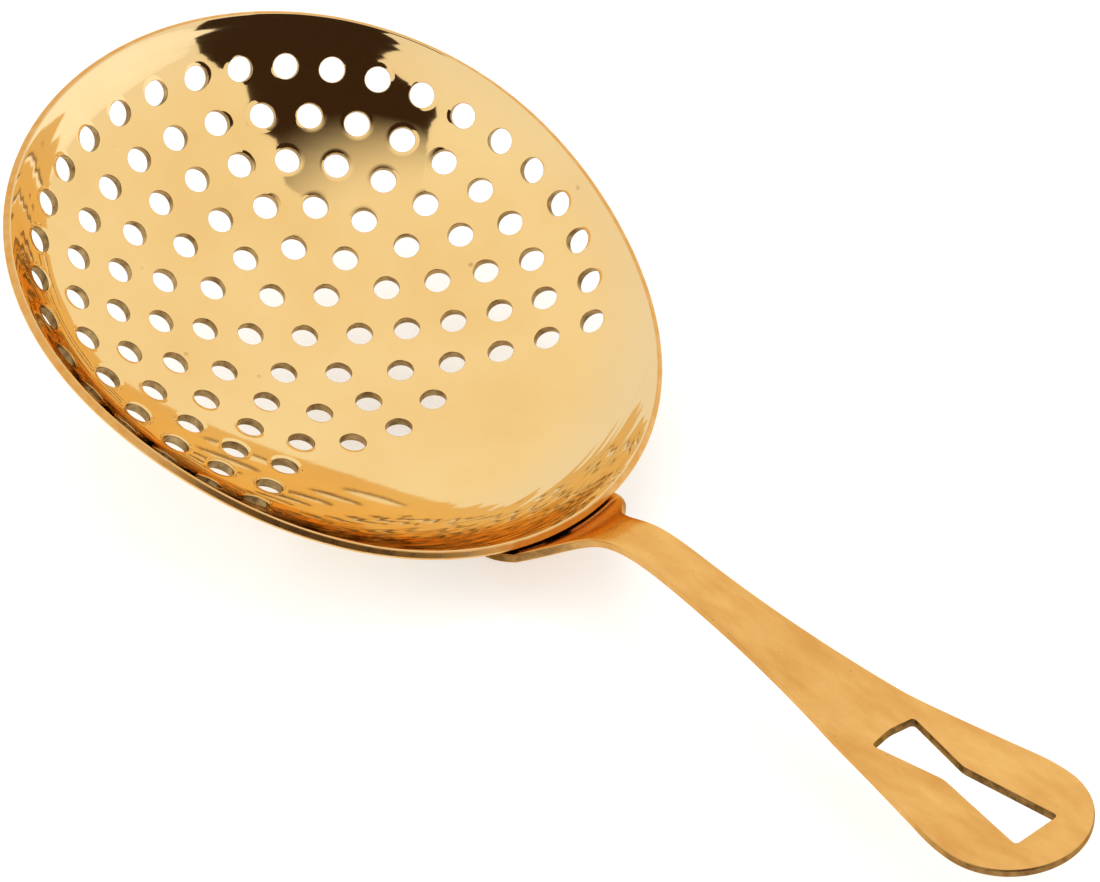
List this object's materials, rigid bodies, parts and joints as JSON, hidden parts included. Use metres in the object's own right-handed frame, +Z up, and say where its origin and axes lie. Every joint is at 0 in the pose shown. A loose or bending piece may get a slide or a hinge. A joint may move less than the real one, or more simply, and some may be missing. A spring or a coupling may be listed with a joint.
{
  "type": "julep strainer",
  "caption": "Perforated dished bowl spot-welded to a slotted flat metal handle, for holding back ice while a drink is poured.",
  "frame": {"origin": "on the table under the middle of the whole length, as the strainer lies on the underside of its bowl", "axes": "+X along the handle towards its tip, +Y to the side, +Z up"},
  "size_m": [0.1654, 0.0784, 0.0354],
  "materials": {
    "polished_gold": "mirror polished",
    "satin_gold": "satin",
    "weld_metal": "matt, slightly discoloured"
  },
  "bodies": {
    "root": {"bowl": "polished_gold", "handle": "satin_gold", "spot_weld_1": "weld_metal", "spot_weld_2": "weld_metal", "spot_weld_3": "weld_metal"}
  },
  "joints": []
}
